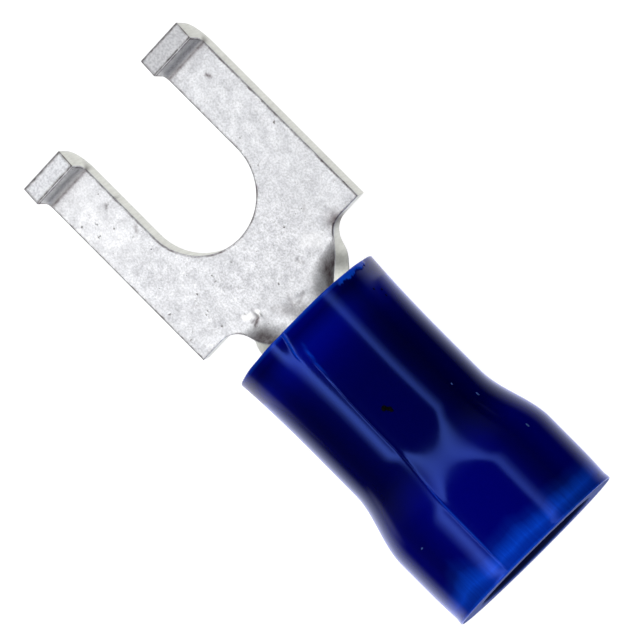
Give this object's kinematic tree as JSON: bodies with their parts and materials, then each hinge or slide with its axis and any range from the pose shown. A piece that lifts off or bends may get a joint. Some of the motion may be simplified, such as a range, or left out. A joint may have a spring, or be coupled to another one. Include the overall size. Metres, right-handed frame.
{
  "type": "insulated fork terminal",
  "caption": "Fork terminal with turned-up tips, a rolled wire barrel and a blue insulating sleeve, crimped onto stranded wire and clamped under a screw or nut.",
  "frame": {"origin": "stud's centre, the centre of the slot's round end, on the underside of the fork", "axes": "+X from the stud's centre towards the fork's tips, +Z out of the fork's upper face, the way the tips turn up; the wire leaves along -X"},
  "size_m": [0.021, 0.008, 0.007],
  "materials": {
    "tin_plate": "matte tin plate on copper sheet",
    "blue_vinyl": "glossy moulded vinyl"
  },
  "bodies": {
    "root": {"terminal_body": "tin_plate", "insulating_sleeve": "blue_vinyl"}
  },
  "joints": []
}
